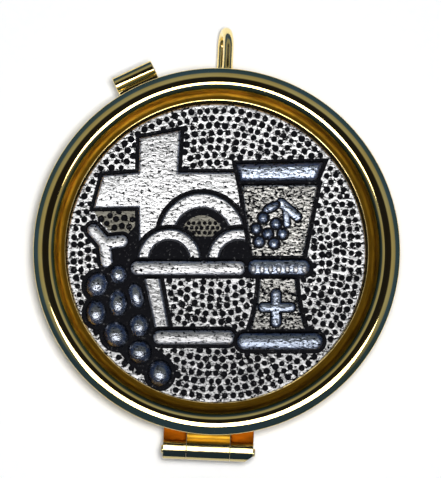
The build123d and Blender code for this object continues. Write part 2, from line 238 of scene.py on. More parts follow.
def signed_volume(piece):
    """Volume of a closed mesh, negative where its faces look inwards."""
    mesh = piece.data
    mesh.calc_loop_triangles()
    total = 0.0
    for triangle in mesh.loop_triangles:
        first, second, third = (mesh.vertices[index].co for index in triangle.vertices)
        total += first.dot(second.cross(third)) / 6
    return total


def lathe(name, profile, steps=ROUND_STEPS):
    """Spin a profile of radius and height round the box's axis into a closed shell."""
    piece = chain(name, [(radius, 0, height) for radius, height in profile])
    bpy.ops.mesh.spin(steps=steps, angle=2 * pi, center=(0, 0, 0), axis=(0, 0, 1))
    return seal(piece)


def prism(name, outline, depth, place=Matrix()):
    """Fill a closed outline on a placed plane and extrude it by this depth."""
    piece = chain(name, [place @ Vector((a, b, 0)) for a, b in [*outline, outline[0]]])
    bpy.ops.mesh.remove_doubles(threshold=WELD)
    bpy.ops.mesh.edge_face_add()
    travel = place.to_3x3() @ Vector((0, 0, depth))
    bpy.ops.mesh.extrude_region_move(TRANSFORM_OT_translate={"value": travel})
    return seal(piece)


def settle(piece, location, rotation):
    """Turn and move a piece, and apply that, so that its object stays at the origin."""
    bpy.ops.object.select_all(action="DESELECT")
    piece.select_set(True)
    bpy.context.view_layer.objects.active = piece
    piece.location = location
    piece.rotation_euler = rotation
    bpy.ops.object.transform_apply(location=True, rotation=True, scale=True)
    return piece


def select_points(piece, wanted):
    """Go into edit mode with only the vertices selected for which the test holds."""
    bpy.context.view_layer.objects.active = piece
    bpy.ops.object.mode_set(mode="EDIT")
    bpy.ops.mesh.select_mode(type="VERT")
    bpy.ops.mesh.select_all(action="DESELECT")
    bpy.ops.object.mode_set(mode="OBJECT")
    for vertex in piece.data.vertices:
        vertex.select = wanted(vertex.co)
    bpy.ops.object.mode_set(mode="EDIT")
    bpy.ops.mesh.select_mode(type="VERT")


def everywhere(place):
    """A test that holds for every vertex."""
    return True


def reshape(piece, wanted, operator, **settings):
    """Run one operator of edit mode on the vertices for which the test holds."""
    select_points(piece, wanted)
    operator(**settings)
    bpy.ops.object.mode_set(mode="OBJECT")


def apply(piece, modifier):
    """Apply one modifier to a piece."""
    bpy.context.view_layer.objects.active = piece
    bpy.ops.object.modifier_apply(modifier=modifier.name)


def round_edges(piece, width, segments=3):
    """Bevel the sharp edges of a piece."""
    bevel = piece.modifiers.new("round", "BEVEL")
    bevel.width = width
    bevel.segments = segments
    bevel.limit_method = "ANGLE"
    bevel.angle_limit = BEVEL_ANGLE
    apply(piece, bevel)
    triangulate(piece)


def triangulate(piece):
    """Split faces with many corners, which a cut could leave folded over."""
    split = bpy.ops.mesh.quads_convert_to_tris
    reshape(piece, everywhere, split, quad_method="FIXED", ngon_method="CLIP")


def combine(piece, tool, operation):
    """Join a solid to a piece or cut it away, with its own finish, and use it up."""
    triangulate(tool)
    step = piece.modifiers.new("combine", "BOOLEAN")
    step.solver = "MANIFOLD"
    step.material_mode = "TRANSFER"
    step.operation = operation
    step.object = tool
    apply(piece, step)
    mesh = tool.data
    bpy.data.objects.remove(tool)
    bpy.data.meshes.remove(mesh)


def cylinder(name, radius, depth, location=(0, 0, 0), rotation=(0, 0, 0), sides=ROUND_STEPS):
    """A round cutter."""
    add = bpy.ops.mesh.primitive_cylinder_add
    cutter = begin(name, add, vertices=sides, radius=radius, depth=depth)
    return settle(cutter, location, rotation)


def cut_to_wall(piece, case):
    """Shape what is soldered on so that it seats on the round wall."""
    combine(piece, cylinder("wall_cutter", case.radius, 4 * case.lid_top), "DIFFERENCE")


def hand_over(piece, finish, body, slot, *nodes):
    """Give a finished piece its shading and finish, hang it under its body, and hide the parts that it
    stands for.
    """
    if finish:
        piece.data.materials.clear()
        piece.data.materials.append(finish)
    bpy.ops.object.select_all(action="DESELECT")
    piece.select_set(True)
    bpy.context.view_layer.objects.active = piece
    bpy.ops.object.shade_smooth_by_angle(angle=SMOOTH_ANGLE)
    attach(piece, body)
    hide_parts(*nodes)


# Finishes


HAIRLINES = (60, 9000)
GRAIN_LEAN = radians(25)


class NodeTree:
    """The node tree of a material or a world, built up call by call."""

    def __init__(self, owner):
        owner.use_nodes = True
        self.nodes = owner.node_tree.nodes
        self.links = owner.node_tree.links
        self.nodes.clear()

    def feed(self, socket, value):
        """Link an output to a socket, or set a constant on it."""
        if isinstance(value, bpy.types.NodeSocket):
            self.links.new(value, socket)
        elif socket.type == "RGBA":
            socket.default_value = (*value, 1)
        else:
            socket.default_value = value

    def add(self, kind, inputs, **settings):
        """Add a node with these settings, and feed its inputs by name or number."""
        node = self.nodes.new("ShaderNode" + kind)
        for name, value in settings.items():
            setattr(node, name, value)
        for socket, value in inputs.items():
            self.feed(node.inputs[socket], value)
        return node

    def mix(self, share, first, second):
        """A colour between two, by a share."""
        node = self.add("Mix", {"Factor": share}, data_type="RGBA")
        sockets = [socket for socket in node.inputs if socket.type == "RGBA"]
        self.feed(sockets[0], first)
        self.feed(sockets[1], second)
        return [socket for socket in node.outputs if socket.type == "RGBA"][0]


class Finish(NodeTree):
    """A material on Object coordinates."""

    def __init__(self, name):
        self.material = bpy.data.materials.get(name) or bpy.data.materials.new(name)
        super().__init__(self.material)
        self.shader = self.add("BsdfPrincipled", {})
        self.add("OutputMaterial", {"Surface": self.shader.outputs["BSDF"]})
        self.place = self.add("TexCoord", {}).outputs["Object"]

    def set(self, name, value):
        """Set or link one socket of the shader."""
        self.feed(self.shader.inputs[name], value)

    def math(self, operation, first, second):
        """One Math node."""
        return self.add("Math", {0: first, 1: second}, operation=operation).outputs[0]

    def times(self, first, second):
        """Two values multiplied."""
        return self.math("MULTIPLY", first, second)

    def vector(self, operation, inputs):
        """One Vector Math node."""
        return self.add("VectorMath", inputs, operation=operation)

    def stretched(self, scale, turn=0.0):
        """Object coordinates, turned in the face and scaled along each axis."""
        inputs = {"Vector": self.place, "Rotation": (0, 0, turn), "Scale": scale}
        return self.add("Mapping", inputs).outputs[0]

    def flat(self):
        """Object coordinates without their height."""
        return self.vector("MULTIPLY", {0: self.place, 1: (1, 1, 0)}).outputs[0]

    def radius(self):
        """Distance from the box's axis."""
        return self.vector("LENGTH", {0: self.flat()}).outputs["Value"]

    def around(self, along, across):
        """Coordinates that run round the axis, at one scale along the ring and one across it."""
        bearing = self.vector("NORMALIZE", {0: self.flat()}).outputs[0]
        ring = self.vector("SCALE", {0: bearing, "Scale": along}).outputs[0]
        parts = self.add("SeparateXYZ", {0: ring}).outputs
        reach = self.times(self.radius(), across)
        return self.add("CombineXYZ", {"X": parts["X"], "Y": parts["Y"], "Z": reach}).outputs[0]

    def height(self):
        """Height above the floor."""
        return self.add("SeparateXYZ", {0: self.place}).outputs["Z"]

    def toward(self, across, along):
        """Distance from the box's axis in this direction over the floor."""
        return self.vector("DOT_PRODUCT", {0: self.place, 1: (across, along, 0)}).outputs["Value"]

    def noise(self, scale, detail, vector=None, roughness=0.5):
        """Noise of this scale on Object coordinates, or on the given ones."""
        place = vector or self.place
        inputs = {"Vector": place, "Scale": scale, "Detail": detail, "Roughness": roughness}
        return self.add("TexNoise", inputs).outputs["Fac"]

    def blend(self, value, low, high, to_low=0.0, to_high=1.0):
        """A smooth step of a value from one range to another."""
        inputs = {"Value": value, "From Min": low, "From Max": high, "To Min": to_low, "To Max": to_high}
        return self.add("MapRange", inputs, interpolation_type="SMOOTHSTEP").outputs["Result"]

    def bump(self, height, distance, strength=1.0):
        """Feed a height to the shader's normal."""
        inputs = {"Height": height, "Distance": distance, "Strength": strength}
        self.set("Normal", self.add("Bump", inputs).outputs["Normal"])


def darker(tone, share):
    """A colour dimmed to this share."""
    return [channel * share for channel in tone]


def gilding(finish, colours, scale=160, low=0.35):
    """Gilt whose tone drifts, in patches of this scale."""
    drift = finish.blend(finish.noise(scale, 3), low, 0.7)
    return finish.mix(drift, colours.gilt, colours.gilt_warm)


def polished_gilt(name, colours, polish):
    """Mirror gilding with drifting tone and fine scratches along the ring."""
    finish = Finish(name)
    finish.set("Base Color", gilding(finish, colours))
    finish.set("Metallic", 1.0)
    hairlines = finish.noise(1.0, 3, finish.around(*HAIRLINES))
    finish.set("Roughness", finish.blend(hairlines, 0.3, 0.8, polish, polish + 0.08))
    finish.bump(hairlines, 0.0012 * MM)
    return finish.material


def lid_gilt(colours, case):
    """The lid's gilding, with drawing streaks in its cove, where its colour turns to a painted orange
    reflection of the gilding in itself and to painted shade next to the seat.
    """
    finish = Finish("lid_gilt")
    seat = seat_radius(case)
    radius = finish.radius()
    inner = finish.blend(radius, seat - 0.5 * MM, seat - 0.3 * MM)
    outer = finish.blend(radius, seat + 1.0 * MM, seat + 1.35 * MM, 1.0, 0.0)
    cove = finish.times(inner, outer)
    seat_height = case.lid_top - case.recess
    above = finish.blend(finish.height(), seat_height - 0.5 * MM, seat_height - 0.3 * MM)
    # Painted reflection: the cove and the bead's inner side take the orange that the gilding reflects of
    # itself, in place of gilt.
    reflection_zone = finish.blend(radius, seat + 1.2 * MM, seat + 1.9 * MM, 1.0, 0.0)
    reflection_zone = finish.times(above, finish.times(inner, reflection_zone))
    streaks = finish.noise(1.0, 5, finish.around(7, 2600), 0.6)
    smudges = finish.noise(1.0, 4, finish.around(24, 1200), 0.6)
    # The painted reflection is strongest towards -X and +Y, and fades to painted shade, a tenth of the
    # orange, next to the medallion's seat.
    reflection_side = finish.blend(finish.toward(-0.8, 0.6), -0.5 * seat, 0.6 * seat, 0.35, 1.0)
    reflection_share = finish.times(reflection_side, finish.blend(radius, seat + 0.05 * MM, seat + 0.5 * MM))
    reflection_share = finish.times(reflection_share, finish.blend(streaks, 0.35, 0.62, 0.4, 1.0))
    amber_reflection = finish.mix(reflection_share, darker(colours.amber, 0.1), colours.amber)
    finish.set("Base Color", finish.mix(reflection_zone, gilding(finish, colours), amber_reflection))
    finish.set("Metallic", 1.0)
    hairlines = finish.noise(1.0, 3, finish.around(*HAIRLINES))
    polish = finish.blend(hairlines, 0.3, 0.8, 0.03, 0.07)
    dull = finish.times(cove, finish.blend(smudges, 0.3, 0.7, 0.48, 0.6))
    within = finish.blend(radius, case.radius - 0.5 * MM, case.radius - 0.4 * MM, 0.25, 0.0)
    satin = finish.times(finish.math("SUBTRACT", 1.0, above), within)
    finish.set("Roughness", finish.math("ADD", polish, finish.math("MAXIMUM", dull, satin)))
    ridges = finish.times(cove, streaks)
    finish.bump(finish.math("ADD", finish.times(hairlines, 0.02), ridges), 0.05 * MM)
    return finish.material


def hinge_gilt(colours):
    """The hinge's gilding, dimmed as painted shade, and dull on the webs soldered to the wall, which carry a
    painted orange reflection of the wall that turns deep orange on the lower webs as painted shade.
    """
    finish = Finish("hinge_gilt")
    pin_y, pin_z = pin_place()
    smears = finish.noise(1.0, 4, finish.stretched((300, 1400, 900)), 0.6)
    # Painted reflection: the webs by the wall take the orange of the wall's gilding that they reflect.
    web_zone = finish.blend(finish.toward(0, 1), pin_y + 0.9 * MM, pin_y + 1.2 * MM)
    # Painted shade: below the pin's height, on the lower webs, the orange turns deep and dark.
    low = finish.blend(finish.height(), pin_z + 0.1 * MM, pin_z + 0.4 * MM, 1.0, 0.0)
    amber_reflection = finish.mix(smears, darker(colours.amber, 0.58), darker(colours.amber, 0.3))
    painted_web = finish.mix(low, amber_reflection, colours.web_shade)
    # Painted shade: the hinge's own gilt is the lid's gilt dimmed to 55%.
    finish.set("Base Color", finish.mix(web_zone, darker(colours.gilt, 0.55), painted_web))
    finish.set("Metallic", 1.0)
    dull = finish.times(web_zone, finish.blend(smears, 0.3, 0.7, 0.27, 0.43))
    finish.set("Roughness", finish.math("ADD", dull, 0.09))
    finish.bump(smears, 0.01 * MM)
    return finish.material


def satin_gilt(colours):
    """Gilding left from the lathe, with fine rings, for the cup and what is out of sight."""
    finish = Finish("satin_gilt")
    rings = finish.noise(1.0, 4, finish.around(5, 7000), 0.6)
    finish.set("Base Color", gilding(finish, colours, 120, 0.3))
    finish.set("Metallic", 1.0)
    finish.set("Roughness", finish.blend(rings, 0.25, 0.75, 0.12, 0.28))
    finish.bump(rings, 0.004 * MM)
    return finish.material


def pewter(name, colours, bright, dark_share, polish, waviness):
    """Cast pewter: worn bright metal, a little wavy, with black grain left in its pores, and painted shade
    that darkens it towards the hinge side.
    """
    finish = Finish(name)
    grain = finish.noise(2600, 3, None, 0.65)
    brushed = finish.noise(1.0, 3, finish.stretched((1500, 3600, 2500), GRAIN_LEAN), 0.6)
    pores = finish.times(finish.math("ADD", grain, brushed), 0.5)
    black = finish.blend(pores, 0.5 - dark_share, 0.43 - dark_share, 0.0, 1.0)
    patches = finish.blend(finish.noise(420, 3), 0.3, 0.7)
    # Painted shade: every pewter finish darkens towards the black patina colour towards -Y, down to just
    # over half its tone at the bottom, by the hinge.
    lower_shade = finish.blend(finish.toward(0, 1), -17 * MM, 8 * MM, 0.55, 1.0)
    tone = finish.mix(patches, bright, darker(bright, 0.8))
    tone = finish.mix(lower_shade, colours.patina, tone)
    finish.set("Base Color", finish.mix(black, tone, colours.patina))
    finish.set("Metallic", 1.0)
    finish.set("Roughness", finish.math("ADD", finish.times(black, 0.25), polish))
    waves = finish.noise(1500, 2, finish.stretched((0.8, 1.5, 1.0), GRAIN_LEAN))
    relief = finish.math("ADD", finish.times(waves, waviness), finish.times(pores, 0.6))
    finish.bump(relief, 0.2 * MM, 0.8)
    return finish.material


def black_patina(colours):
    """Black patina in the dimples and sunk outlines, with a little metal showing through."""
    finish = Finish("black_patina")
    rub = finish.blend(finish.noise(2400, 4, None, 0.65), 0.6, 0.78)
    finish.set("Base Color", finish.mix(rub, colours.patina, darker(colours.pewter, 0.25)))
    finish.set("Metallic", 0.9)
    finish.set("Roughness", 0.6)
    finish.bump(finish.noise(2000, 3), 0.06 * MM)
    return finish.material


# Places that several pieces share


def crown_radius(half_width, rise):
    """Radius of the arc that rises this far over this half width."""
    return (half_width**2 + rise**2) / (2 * rise)


def cove_turn(case):
    """Degrees through which the bead's inner side turns before the cove turns back."""
    return degrees(acos(1 - case.recess / (case.bead_inner + case.cove)))


def seat_radius(case):
    """Radius where the cove meets the medallion's seat."""
    return case.radius - case.bead_inset - (case.bead_inner + case.cove) * sin(radians(cove_turn(case)))


def pin_place():
    """The hinge line's place along Y and its height."""
    return (PIN_LOW.y + PIN_HIGH.y) / 2, (PIN_LOW.z + PIN_HIGH.z) / 2


def catch_place(hardware, width):
    """The plane of the catch's sections: outwards, upwards, and along the wall."""
    turn = hardware.catch_angle
    out = Vector((-sin(turn), cos(turn), 0))
    along = Vector((cos(turn), sin(turn), 0))
    place = Matrix((out, (0, 0, 1), along)).transposed().to_4x4()
    place.translation = along * (-width / 2)
    return place


# Operators, one for each piece or group of like pieces


class PYX_OT_base_cup(bpy.types.Operator):
    """Spin the drawn cup from its floor, corner and wall"""

    bl_idname = "pyx.base_cup"
    bl_label = "Base cup"

    def execute(self, context):
        case = context.scene.pyx_case
        corner = (case.radius - case.corner, case.corner)
        lip = (case.radius - case.seam_round, case.base_height - case.seam_round)
        profile = [
            (0, 0),
            *arc(corner, case.corner, -90, 0, 14),
            *arc(lip, case.seam_round, 0, 90, 5),
            (case.radius - case.sheet, case.base_height),
            *arc(corner, case.corner - case.sheet, 0, -90, 12),
            (0, case.sheet),
        ]
        cup = lathe("cup", profile)
        hand_over(cup, satin_gilt(context.scene.pyx_colours), "base", "gilt_brass", "base_cup")
        return {"FINISHED"}


class PYX_OT_base_collar(bpy.types.Operator):
    """Spin the collar that stands up into the lid"""

    bl_idname = "pyx.base_collar"
    bl_label = "Base collar"

    def execute(self, context):
        case = context.scene.pyx_case
        outer = COLLAR_HIGH.x
        inner = outer - case.collar_sheet
        profile = [
            (outer, COLLAR_LOW.z),
            (outer, COLLAR_HIGH.z - case.collar_lead),
            (outer - case.collar_lead, COLLAR_HIGH.z),
            (inner, COLLAR_HIGH.z),
            (inner, COLLAR_LOW.z),
            (outer, COLLAR_LOW.z),
        ]
        collar = lathe("collar", profile)
        hand_over(collar, satin_gilt(context.scene.pyx_colours), "base", "gilt_brass", "base_collar")
        return {"FINISHED"}


class PYX_OT_lid_shell(bpy.types.Operator):
    """Spin the drawn lid from its wall over the bead and down the cove to the seat"""

    bl_idname = "pyx.lid_shell"
    bl_label = "Lid shell"

    def execute(self, context):
        case = context.scene.pyx_case
        crest = case.radius - case.bead_inset
        outer_radius = crown_radius(case.bead_inset, case.shoulder_drop)
        outer_centre = (crest, case.lid_top - outer_radius)
        inner_centre = (crest, case.lid_top - case.bead_inner)
        turn = cove_turn(case)
        reach = case.bead_inner + case.cove
        cove_centre = (
            inner_centre[0] - reach * sin(radians(turn)),
            inner_centre[1] + reach * cos(radians(turn)),
        )
        shoulder_x = case.radius - case.shoulder_round
        shoulder_rise = sqrt((outer_radius - case.shoulder_round) ** 2 - (shoulder_x - crest) ** 2)
        shoulder_centre = (shoulder_x, outer_centre[1] + shoulder_rise)
        shoulder_angle = degrees(atan2(shoulder_rise, shoulder_x - crest))
        seam = (case.radius - case.seam_round, case.lid_bottom + case.seam_round)
        under = case.lid_sheet
        wall = case.radius - under
        wall_angle = degrees(acos((wall - crest) / (outer_radius - under)))
        profile = [
            (0, cove_centre[1] - case.cove),
            *arc(cove_centre, case.cove, -90, turn - 90, 20),
            *arc(inner_centre, case.bead_inner, 90 + turn, 90, 30)[1:],
            *arc(outer_centre, outer_radius, 90, shoulder_angle, 26)[1:],
            *arc(shoulder_centre, case.shoulder_round, shoulder_angle, 0, 6)[1:],
            *arc(seam, case.seam_round, 0, -90, 5),
            (wall, case.lid_bottom),
            *arc(outer_centre, outer_radius - under, wall_angle, 90, 10),
            *arc(inner_centre, case.bead_inner - under, 90, 90 + turn, 10)[1:],
            *arc(cove_centre, case.cove + under, turn - 90, -90, 10)[1:],
            (0, cove_centre[1] - case.cove - under),
        ]
        lid = lathe("lid", profile)
        hand_over(lid, lid_gilt(context.scene.pyx_colours, case), "lid", "gilt_brass", "lid_shell")
        return {"FINISHED"}


KNUCKLE_ROUND = 0.05 * MM
CORNER_SLANT = 0.75
PIN_ROUND = 0.2 * MM
PIN_SIDES = 48


class PYX_OT_hinge(bpy.types.Operator):
    """Extrude the three knuckles, seat them on the wall, bore them and spin the pin"""

    bl_idname = "pyx.hinge"
    bl_label = "Hinge"

    def barrel(self, hardware, pin_y, start, end):
        """Points round the rolled barrel, whose crest leans from the pin towards the wall."""
        radius, lean = hardware.knuckle_radius, hardware.barrel_lean
        points = []
        for across, rise in arc((0, 0), radius, start, end, 44):
            reach = radius - lean if across > 0 else radius + lean
            points.append((pin_y + lean + across / radius * reach, rise))
        return points

    def cut_corner(self, piece, hardware):
        """Take the worn corner off the end of the right knuckle."""
        low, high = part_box("hinge_knuckle_right")
        cut = hardware.corner_cut
        outline = [(high.x - cut, low.y), (high.x, low.y + CORNER_SLANT * cut), (high.x + cut, low.y - cut)]
        place = Matrix.Translation((0, 0, 2 * low.z - high.z))
        combine(piece, prism("corner", outline, 2 * (high.z - low.z), place), "DIFFERENCE")

    def knuckle(self, context, name, side, bore):
        """One knuckle. side is 1 where its web lies above the parting plane, and -1 below it."""
        case = context.scene.pyx_case
        hardware = context.scene.pyx_hardware
        low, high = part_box(name)
        if side > 0:
            low.x -= hardware.seam_fill
            high.x += hardware.seam_fill
        pin_y, pin_z = pin_place()
        near = hardware.web_clearance
        far = near + hardware.web_rise
        wall_y = -sqrt(case.radius**2 - max(abs(low.x), abs(high.x)) ** 2) + case.seam_round
        start = degrees(asin(near / hardware.knuckle_radius))
        crest = (pin_y + hardware.barrel_lean, hardware.knuckle_radius)
        outline = [
            *self.barrel(hardware, pin_y, start, -270),
            *sagged(crest, (wall_y, far), hardware.saddle_dip, 10),
            (wall_y, far),
            (wall_y, near),
        ]
        outline = [(y, pin_z + side * rise) for y, rise in outline]
        place = Matrix(((0, 0, 1, low.x), (1, 0, 0, 0), (0, 1, 0, 0), (0, 0, 0, 1)))
        piece = prism(name.replace("hinge_", ""), outline, high.x - low.x, place)
        round_edges(piece, KNUCKLE_ROUND)
        cut_to_wall(piece, case)
        middle = ((low.x + high.x) / 2, pin_y, pin_z)
        drill = cylinder("drill", bore, 2 * (high.x - low.x), middle, (0, pi / 2, 0), PIN_SIDES)
        combine(piece, drill, "DIFFERENCE")
        return piece

    def execute(self, context):
        hardware = context.scene.pyx_hardware
        finish = hinge_gilt(context.scene.pyx_colours)
        pin_y, pin_z = pin_place()
        pin_radius = (PIN_HIGH.z - PIN_LOW.z) / 2
        left = self.knuckle(context, "hinge_knuckle_left", -1, pin_radius)
        hand_over(left, finish, "base", "gilt_brass", "hinge_knuckle_left")
        right = self.knuckle(context, "hinge_knuckle_right", -1, pin_radius)
        self.cut_corner(right, hardware)
        hand_over(right, finish, "base", "gilt_brass", "hinge_knuckle_right")
        name = "hinge_knuckle_middle"
        middle = self.knuckle(context, name, 1, pin_radius + hardware.pin_clearance)
        hand_over(middle, finish, "lid", "gilt_brass", name)
        half_length = (PIN_HIGH.x - PIN_LOW.x) / 2
        end = (pin_radius - PIN_ROUND, half_length - PIN_ROUND)
        profile = [(0, half_length), *arc(end, PIN_ROUND, 90, 0, 5)]
        profile += [(radius, -height) for radius, height in reversed(profile)]
        pin = settle(lathe("pin", profile, PIN_SIDES), (0, pin_y, pin_z), (0, pi / 2, 0))
        hand_over(pin, finish, "base", "gilt_brass", "hinge_pin")
        return {"FINISHED"}


WIRE_SIDES = 32
FOOT_RINGS = 6


class PYX_OT_bail_loop(bpy.types.Operator):
    """Extrude a wire out from the wall, round its bend and back, with spread feet"""

    bl_idname = "pyx.bail_loop"
    bl_label = "Bail loop"

    def execute(self, context):
        case = context.scene.pyx_case
        hardware = context.scene.pyx_hardware
        half = hardware.loop_half_width
        bend_y = LOOP_HIGH.y - hardware.wire - half
        root_y = case.radius - hardware.foot_length / 2
        spread = [
            hardware.wire + (hardware.foot_radius - hardware.wire) * (1 - count / FOOT_RINGS) ** 2
            for count in range(FOOT_RINGS + 1)
        ]
        rise = hardware.foot_length / FOOT_RINGS
        add = bpy.ops.mesh.primitive_circle_add
        loop = begin("loop", add, vertices=WIRE_SIDES, radius=spread[0], fill_type="NGON")
        settle(loop, (0, root_y, -half), (pi / 2, 0, 0))
        bpy.ops.object.mode_set(mode="EDIT")
        bpy.ops.mesh.select_all(action="SELECT")
        self.spread_leg(spread, rise, 1, -half, root_y)
        straight = bend_y - root_y - hardware.foot_length
        bpy.ops.mesh.extrude_region_move(TRANSFORM_OT_translate={"value": (0, straight, 0)})
        bpy.ops.mesh.spin(steps=WIRE_SIDES, angle=-pi, center=(0, bend_y, 0), axis=(1, 0, 0))
        bpy.ops.mesh.extrude_region_move(TRANSFORM_OT_translate={"value": (0, -straight, 0)})
        self.spread_leg(spread[::-1], rise, -1, half, root_y + hardware.foot_length)
        seal(loop)
        middle = (LOOP_LOW.z + LOOP_HIGH.z) / 2
        settle(loop, (0, 0, middle), (0, hardware.loop_twist, 0))
        cut_to_wall(loop, case)
        wire_gilt = polished_gilt("wire_gilt", context.scene.pyx_colours, 0.17)
        hand_over(loop, wire_gilt, "base", "gilt_brass", "bail_loop")
        return {"FINISHED"}

    def spread_leg(self, spread, rise, way, leg_z, start_y):
        """Extrude the selected end ring by ring through these radii."""
        for count in range(1, len(spread)):
            bpy.ops.mesh.extrude_region_move(TRANSFORM_OT_translate={"value": (0, way * rise, 0)})
            ratio = spread[count] / spread[count - 1]
            centre = (0, start_y + way * rise * count, leg_z)
            bpy.ops.transform.resize(value=(ratio, 1, ratio), center_override=centre)


THUMB_ROUND = 0.16 * MM
TONGUE_ROUND = 0.06 * MM
KEEPER_ROUND = 0.1 * MM
SNAP_CLEARANCE = 0.05 * MM


class PYX_OT_catch(bpy.types.Operator):
    """Extrude the thumb bar, the snap tongue and the keeper along the wall"""

    bl_idname = "pyx.catch"
    bl_label = "Catch"

    def execute(self, context):
        case = context.scene.pyx_case
        hardware = context.scene.pyx_hardware
        finish = polished_gilt("catch_gilt", context.scene.pyx_colours, 0.05)
        self.thumb_bar(case, hardware, finish)
        self.tongue(case, hardware, finish)
        self.keeper(case, hardware, finish)
        return {"FINISHED"}

    def thumb_bar(self, case, hardware, finish):
        """The half-round bar on the lid's wall."""
        bottom, top = TAB_LOW.z, TAB_HIGH.z
        reach = case.radius + hardware.tab_reach
        root = case.radius - hardware.tab_reach
        apex = reach - hardware.thumb_half_width
        crown = crown_radius(hardware.thumb_half_width, hardware.thumb_crown)
        half_turn = degrees(asin(hardware.thumb_half_width / crown))
        thumb = arc((apex, top - crown), crown, 90 - half_turn, 90 + half_turn, 18)
        outline = [(root, bottom), (reach, bottom), *thumb, (root, thumb[-1][1])]
        place = catch_place(hardware, hardware.tab_width)
        bar = prism("thumb_bar", outline, hardware.tab_width, place)
        round_edges(bar, THUMB_ROUND, 4)
        cut_to_wall(bar, case)
        hand_over(bar, finish, "lid", "gilt_brass", "catch_tab")

    def tongue(self, case, hardware, finish):
        """The springy strip under the bar, with its rib."""
        low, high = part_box("catch_tongue")
        face = case.radius + hardware.keeper + SNAP_CLEARANCE + hardware.rib
        rib_height = low.z + hardware.rib * 2
        outline = [
            (face, high.z),
            (face + hardware.tongue_sheet, high.z),
            (face + hardware.tongue_sheet, low.z),
            (face, low.z),
            *arc((face, rib_height), hardware.rib, 270, 90, 12),
        ]
        width = hardware.tongue_width
        strip = prism("snap_tongue", outline, width, catch_place(hardware, width))
        round_edges(strip, TONGUE_ROUND)
        hand_over(strip, finish, "lid", "gilt_brass", "catch_tongue")

    def keeper(self, case, hardware, finish):
        """The half-round rib on the cup's wall."""
        low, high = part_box("catch_keeper")
        centre = (case.radius, (low.z + high.z) / 2)
        outline = [*arc(centre, hardware.keeper, -90, 90, 20), (case.radius - hardware.keeper, centre[1])]
        width = hardware.keeper_width
        rib = prism("keeper", outline, width, catch_place(hardware, width))
        round_edges(rib, KEEPER_ROUND)
        cut_to_wall(rib, case)
        hand_over(rib, finish, "base", "gilt_brass", "catch_keeper")


# The relief's drawing, in millimetres from the medallion's centre

CROSS = [
    (-5.4, 1.5), (-5.4, 6.8), (4.2, 6.8), (4.0, 11.9), (-5.6, 11.9), (-5.2, 18.15),
    (-11.3, 17.0), (-11.4, 11.9), (-16.7, 11.5), (-18.05, 6.7), (-11.4, 6.8), (-11.4, 1.5),
]
CUP = [(5.25, -0.9), (12.75, -0.9), (15.0, 10.1), (3.6, 10.1)]
CUP_RIM = [(3.5, 10.55), (14.7, 10.7), (15.85, 13.45), (2.9, 13.15)]
STAY = [(-9.0, -11.3), (-6.8, -11.3), (-8.3, -3.4), (-10.7, -3.4)]
LOAVES = [
    ((-2.1, 2.55), 6.4, 4.1, 0.5, 0.3),
    ((-6.9, -1.0), 4.7, 2.9, 0.62, 0.34),
    ((3.35, -1.0), 4.7, 2.9, 0.62, 0.34),
]
CRUST_SOFT = 0.24
CRUST_STEPS = 40
CRUMB = 3.0
CRUMB_SINK = 0.02
CRUMB_PITCH = 0.78
CRUMB_DIMPLE = 0.64
CRUMB_STRAY = 0.06
CRUMB_START = 0.3
DULL_DEPTH = 0.03
DULL_MARGIN = 0.02
GROUND_MARGIN = 0.05
DULL_GROUND = [(-18.0, 6.3), (-17.2, 4.8), (-15.2, 2.9), (-11.9, 3.0), (-11.9, 6.3)]
LOAF_GAP = [(-5.0, 2.7), (-5.0, -1.1), (1.4, -1.1), (1.4, 2.7)]
VINE_GROUND = [
    (-11.9, 4.0), (-11.9, -1.3), (-9.2, -11.2), (-9.6, -13.6), (-6.9, -15.4), (-7.2, -18.6),
    (-9.4, -19.0), (-13.0, -16.0), (-17.2, -11.0), (-18.9, -7.0), (-18.2, -3.2), (-15.6, -1.2),
    (-14.6, 1.0),
]
BARS = [
    ((-11.55, -2.15), (3.3, -2.15), 2.05, 0.8),
    ((-8.25, -12.35), (1.7, -12.35), 2.1, 0.8),
    ((4.3, -12.95), (14.45, -12.95), 2.5, 0.85),
]
KNOP = ((5.8, -2.05), (12.65, -2.05), 2.3, 0.62)
KNOP_BEADS = 7
KNOP_PITCH = 1.24
KNOP_BEAD = (0.54, 0.74)
KNOP_BEAD_STAND = 0.22
KNOP_BEAD_DROP = 0.2
FORK = [((-16.4, 1.5), end, 1.8) for end in [(-18.05, 3.4), (-13.9, 1.8), (-16.1, -1.2)]]
FORK_RISE = 0.6
GRAPES = [
    ((-14.4, -3.1), 1.5, 1.55, 0),
    ((-17.55, -4.65), 1.85, 2.15, -25),
    ((-11.75, -6.25), 1.3, 2.05, 15),
    ((-14.45, -7.35), 1.55, 2.15, 0),
    ((-17.7, -8.75), 1.7, 2.15, 0),
    ((-11.35, -10.7), 1.7, 1.9, 0),
    ((-14.75, -12.0), 2.05, 2.25, 30),
    ((-11.25, -14.5), 2.0, 2.0, 0),
    ((-8.3, -17.65), 2.0, 2.25, 0),
]
GRAPE_STAND = 0.44
GRAPE_TRENCH = 0.4
CUP_GRAPES = [(6.9, 5.2), (8.8, 4.35), (5.85, 3.6), (7.6, 2.85), (9.8, 2.85), (6.3, 1.7), (8.5, 1.45)]
CUP_GRAPE_RADIUS = 0.81
CUP_BARS = [((9.6, 7.4), (11.9, 5.4), 1.25), ((10.3, 6.0), (10.4, 4.3), 0.9)]
FOOT_BARS = [((8.8, -6.0), (8.8, -10.1), 1.45), ((6.9, -7.95), (11.0, -7.95), 1.3)]
LEAF = ((8.1, 6.75), 0.6, 1.35, -64)
FOOT = (9.05, -11.4, 4.25, -3.4, 2.7, 0.35)
CROSS_RISE, CROSS_SOFT = 0.35, 0.28
FIELD_RISE, FIELD_SOFT = 0.45, 0.2
STAY_RISE, STAY_SOFT = 0.6, 0.25
RIM_RISE, RIM_SOFT = 0.75, 0.6
